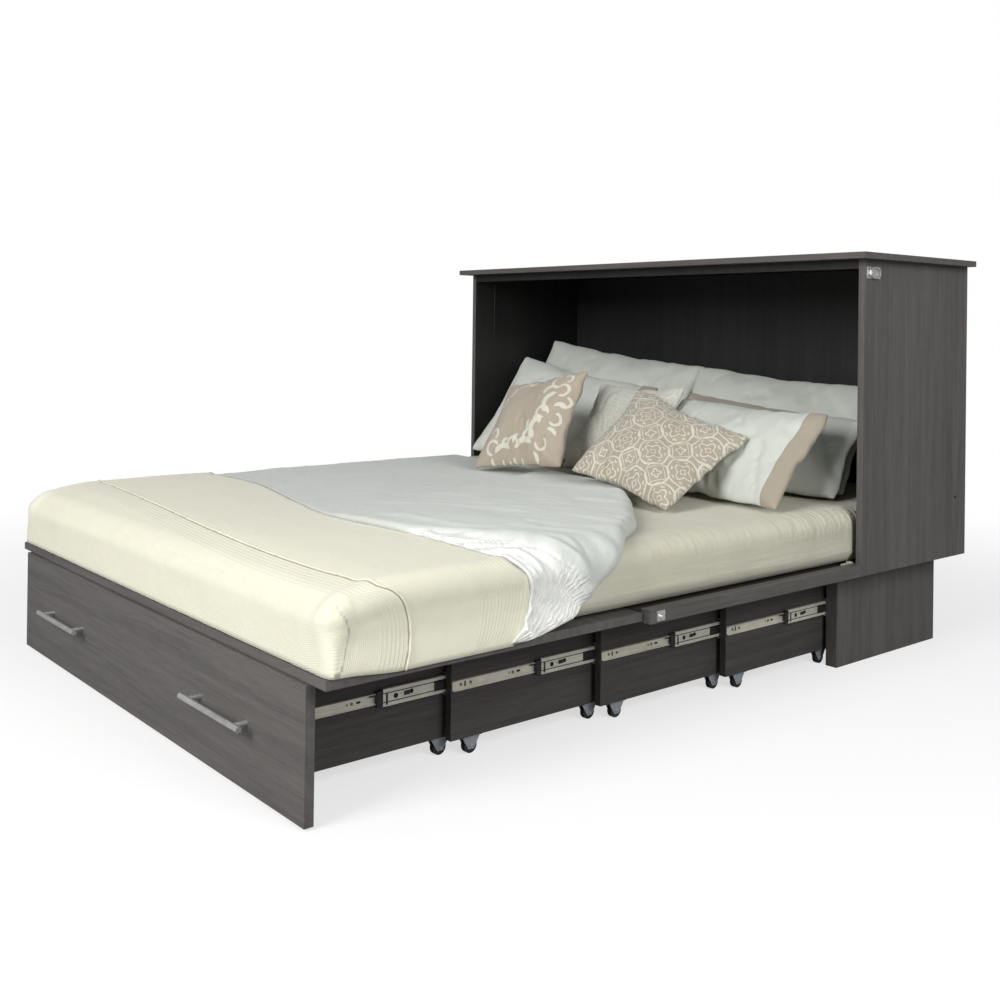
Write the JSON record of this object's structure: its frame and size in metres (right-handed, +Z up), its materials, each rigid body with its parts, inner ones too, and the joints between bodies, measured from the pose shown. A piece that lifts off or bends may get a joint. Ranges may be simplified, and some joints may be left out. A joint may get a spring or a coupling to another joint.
{
  "type": "cabinet bed",
  "caption": "Dark wood-grain cabinet bed, opened: fold-down decks over a telescoping drawer base on casters, with mattress, blanket, duvet, pillows and cushions.",
  "frame": {"origin": "floor under the middle of the overall box", "axes": "+Z up, +Y from the foot of the bed towards the cabinet, +X towards the side where the duvet hangs down"},
  "size_m": [1.696, 2.102, 1.078],
  "materials": {
    "laminate": "dark grey-brown wood-grain laminate, satin",
    "interior": "near-black laminate inside the cabinet",
    "zinc": "zinc-plated sheet steel",
    "nickel": "brushed nickel",
    "fork": "grey-blue steel",
    "tyre": "black wheel",
    "sheet": "pale sheet",
    "blanket": "cream ribbed weave",
    "duvet": "white cotton",
    "pillow": "white cotton",
    "cushion": "taupe and cream linen"
  },
  "bodies": {
    "cabinet": {"cabinet_side_right": "laminate", "cabinet_side_left": "laminate", "cabinet_top": "laminate", "cabinet_back": "interior", "top_stretcher": "interior", "head_deck": "interior", "plinth_sides": "laminate", "plinth_back": "interior", "wall_stays": "zinc", "deck_hinge_fixed": "zinc", "plinth_slides": "zinc", "latch_plates": "nickel", "mattress": "sheet", "blanket": "blanket", "duvet": "duvet", "pillows_back": "pillow", "pillows_front": "pillow", "cushions": "cushion"},
    "middle_deck": {"middle_deck": "interior", "rail_right": "laminate", "rail_left": "laminate", "rail_keepers": "nickel", "fold_hinge_middle": "zinc", "deck_hinge_moving": "zinc"},
    "foot_deck": {"foot_deck": "interior", "fold_hinge_foot": "zinc"},
    "bail_right": {"bail_right": "nickel"},
    "bail_left": {"bail_left": "nickel"},
    "segment_four": {"segment_four_sides": "laminate", "segment_four_cross_board": "laminate", "segment_four_slides": "zinc", "segment_four_casters": "fork"},
    "runner_4": {"runner_4": "zinc"},
    "segment_four_wheels_front": {"segment_four_wheels_front": "tyre"},
    "segment_four_wheels_rear": {"segment_four_wheels_rear": "tyre"},
    "segment_three": {"segment_three_sides": "laminate", "segment_three_cross_board": "laminate", "segment_three_slides": "zinc", "segment_three_casters": "fork"},
    "runner_3": {"runner_3": "zinc"},
    "segment_three_wheels_front": {"segment_three_wheels_front": "tyre"},
    "segment_three_wheels_rear": {"segment_three_wheels_rear": "tyre"},
    "segment_two": {"segment_two_sides": "laminate", "segment_two_cross_board": "laminate", "segment_two_slides": "zinc", "segment_two_casters": "fork"},
    "runner_2": {"runner_2": "zinc"},
    "segment_two_wheels_front": {"segment_two_wheels_front": "tyre"},
    "segment_two_wheels_rear": {"segment_two_wheels_rear": "tyre"},
    "drawer": {"drawer_sides": "laminate", "drawer_cross_board": "laminate", "drawer_slides": "zinc", "drawer_casters": "fork", "drawer_front": "laminate", "drawer_floor": "laminate", "drawer_handles": "nickel"},
    "runner_1": {"runner_1": "zinc"},
    "drawer_wheels_front": {"drawer_wheels_front": "tyre"},
    "drawer_wheels_rear": {"drawer_wheels_rear": "tyre"}
  },
  "joints": [
    {"name": "deck_fold", "type": "hinge", "parent": "cabinet", "child": "middle_deck", "pos_m": [0, 0.543, 0.28], "axis": [-1, 0, 0], "range_deg": [0, 90], "deforming": ["mattress", "blanket", "duvet", "pillows_back", "pillows_front", "cushions"]},
    {"name": "foot_fold", "type": "hinge", "parent": "middle_deck", "child": "foot_deck", "pos_m": [0, -0.235, 0.252], "axis": [1, 0, 0], "range_deg": [0, 180]},
    {"name": "bail_right_swing", "type": "hinge", "parent": "cabinet", "child": "bail_right", "pos_m": [0.826, 0.561, 1.0275], "axis": [0, 0, -1], "range_deg": [0, 180]},
    {"name": "bail_left_swing", "type": "hinge", "parent": "cabinet", "child": "bail_left", "pos_m": [-0.826, 0.561, 1.0275], "axis": [0, 0, 1], "range_deg": [0, 180]},
    {"name": "segment_four_slide", "type": "slide", "parent": "cabinet", "child": "segment_four", "axis": [0, 1, 0], "range_m": [0, 0.388]},
    {"name": "runner_4_slide", "type": "slide", "parent": "cabinet", "child": "runner_4", "axis": [0, 1, 0], "range_m": [0, 0.194]},
    {"name": "segment_four_wheels_front_spin", "type": "hinge", "parent": "segment_four", "child": "segment_four_wheels_front", "pos_m": [0, 0.213, 0.016], "axis": [1, 0, 0], "continuous": true},
    {"name": "segment_four_wheels_rear_spin", "type": "hinge", "parent": "segment_four", "child": "segment_four_wheels_rear", "pos_m": [0, 0.547, 0.016], "axis": [1, 0, 0], "continuous": true},
    {"name": "segment_three_slide", "type": "slide", "parent": "segment_four", "child": "segment_three", "axis": [0, 1, 0], "range_m": [0, 0.388]},
    {"name": "runner_3_slide", "type": "slide", "parent": "segment_four", "child": "runner_3", "axis": [0, 1, 0], "range_m": [0, 0.194]},
    {"name": "segment_three_wheels_front_spin", "type": "hinge", "parent": "segment_three", "child": "segment_three_wheels_front", "pos_m": [0, -0.175, 0.016], "axis": [1, 0, 0], "continuous": true},
    {"name": "segment_three_wheels_rear_spin", "type": "hinge", "parent": "segment_three", "child": "segment_three_wheels_rear", "pos_m": [0, 0.159, 0.016], "axis": [1, 0, 0], "continuous": true},
    {"name": "segment_two_slide", "type": "slide", "parent": "segment_three", "child": "segment_two", "axis": [0, 1, 0], "range_m": [0, 0.388]},
    {"name": "runner_2_slide", "type": "slide", "parent": "segment_three", "child": "runner_2", "axis": [0, 1, 0], "range_m": [0, 0.194]},
    {"name": "segment_two_wheels_front_spin", "type": "hinge", "parent": "segment_two", "child": "segment_two_wheels_front", "pos_m": [0, -0.563, 0.016], "axis": [1, 0, 0], "continuous": true},
    {"name": "segment_two_wheels_rear_spin", "type": "hinge", "parent": "segment_two", "child": "segment_two_wheels_rear", "pos_m": [0, -0.229, 0.016], "axis": [1, 0, 0], "continuous": true},
    {"name": "drawer_slide", "type": "slide", "parent": "segment_two", "child": "drawer", "axis": [0, 1, 0], "range_m": [0, 0.374]},
    {"name": "runner_1_slide", "type": "slide", "parent": "segment_two", "child": "runner_1", "axis": [0, 1, 0], "range_m": [0, 0.187]},
    {"name": "drawer_wheels_front_spin", "type": "hinge", "parent": "drawer", "child": "drawer_wheels_front", "pos_m": [0, -0.938, 0.016], "axis": [1, 0, 0], "continuous": true},
    {"name": "drawer_wheels_rear_spin", "type": "hinge", "parent": "drawer", "child": "drawer_wheels_rear", "pos_m": [0, -0.619, 0.016], "axis": [1, 0, 0], "continuous": true}
  ],
  "couplings": [
    {"joint": "foot_fold", "follows": "deck_fold", "ratio": 2},
    {"joint": "runner_4_slide", "follows": "segment_four_slide", "ratio": 0.5},
    {"joint": "runner_3_slide", "follows": "segment_three_slide", "ratio": 0.5},
    {"joint": "runner_2_slide", "follows": "segment_two_slide", "ratio": 0.5},
    {"joint": "runner_1_slide", "follows": "drawer_slide", "ratio": 0.5}
  ]
}
